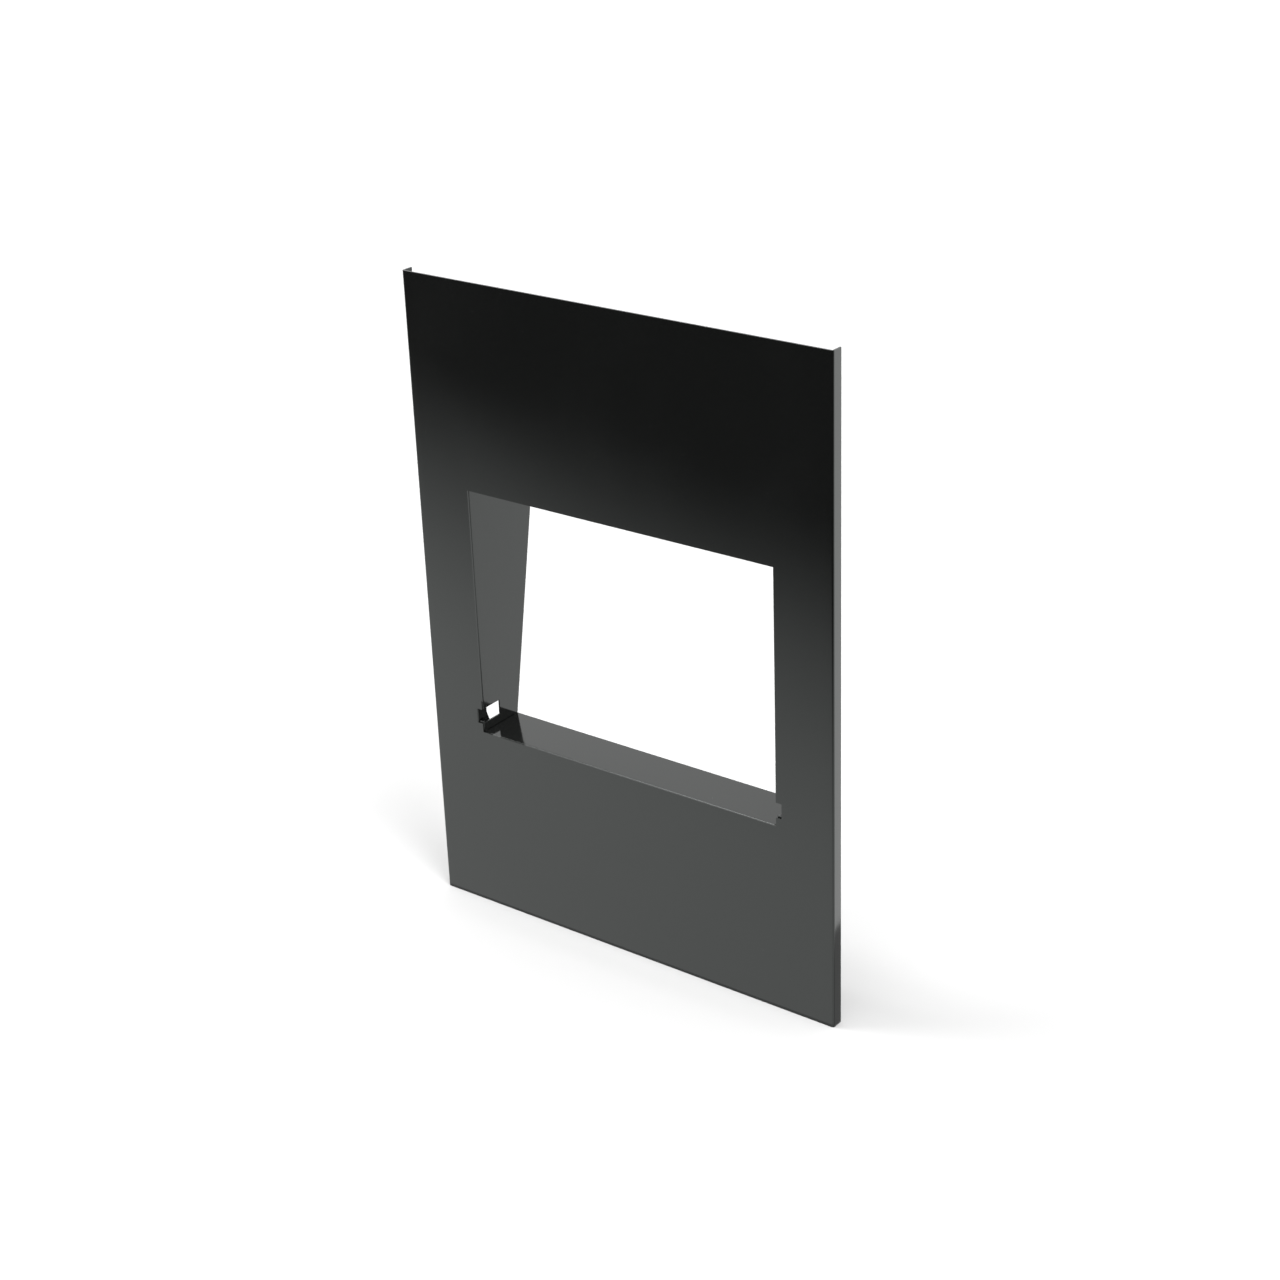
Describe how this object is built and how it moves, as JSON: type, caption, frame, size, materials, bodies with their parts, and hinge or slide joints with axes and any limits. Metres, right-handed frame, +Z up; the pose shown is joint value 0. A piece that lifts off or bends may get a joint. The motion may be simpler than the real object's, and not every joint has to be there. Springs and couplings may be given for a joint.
{
  "type": "kick plate panel",
  "caption": "Upright gloss-black sheet-metal kick panel with folded side returns and a recessed service window with tapered cheeks and a sill shelf.",
  "frame": {"origin": "bottom centre of the front face, on the surface that the panel stands on", "axes": "+X to the right seen from the front, +Y backwards from the face, +Z up"},
  "size_m": [0.457, 0.098, 0.635],
  "materials": {
    "gloss_black_paint": "gloss black enamel on sheet steel",
    "zinc_plated_steel": "bright zinc plate",
    "rivet_aluminium": "plain aluminium"
  },
  "bodies": {
    "root": {"cheek_nut_left_high": "zinc_plated_steel", "cheek_nut_left_low": "zinc_plated_steel", "cheek_nut_left_mid": "zinc_plated_steel", "cheek_nut_right_high": "zinc_plated_steel", "cheek_nut_right_low": "zinc_plated_steel", "cheek_nut_right_mid": "zinc_plated_steel", "cheek_stud_left_high": "zinc_plated_steel", "cheek_stud_left_low": "zinc_plated_steel", "cheek_stud_left_mid": "zinc_plated_steel", "cheek_stud_right_high": "zinc_plated_steel", "cheek_stud_right_low": "zinc_plated_steel", "cheek_stud_right_mid": "zinc_plated_steel", "face_sheet": "gloss_black_paint", "foot_angle": "gloss_black_paint", "foot_nut_1": "zinc_plated_steel", "foot_nut_2": "zinc_plated_steel", "foot_nut_3": "zinc_plated_steel", "foot_nut_4": "zinc_plated_steel", "foot_stud_1": "zinc_plated_steel", "foot_stud_2": "zinc_plated_steel", "foot_stud_3": "zinc_plated_steel", "foot_stud_4": "zinc_plated_steel", "left_cheek": "gloss_black_paint", "mounting_stud_left_high": "zinc_plated_steel", "mounting_stud_left_low": "zinc_plated_steel", "mounting_stud_right_high": "zinc_plated_steel", "mounting_stud_right_low": "zinc_plated_steel", "right_cheek": "gloss_black_paint", "sill": "gloss_black_paint", "sill_nut_1": "zinc_plated_steel", "sill_nut_2": "zinc_plated_steel", "sill_nut_3": "zinc_plated_steel", "sill_nut_4": "zinc_plated_steel", "sill_rivet_left_front": "rivet_aluminium", "sill_rivet_left_rear": "rivet_aluminium", "sill_rivet_right_front": "rivet_aluminium", "sill_rivet_right_rear": "rivet_aluminium", "sill_stud_1": "zinc_plated_steel", "sill_stud_2": "zinc_plated_steel", "sill_stud_3": "zinc_plated_steel", "sill_stud_4": "zinc_plated_steel"}
  },
  "joints": []
}
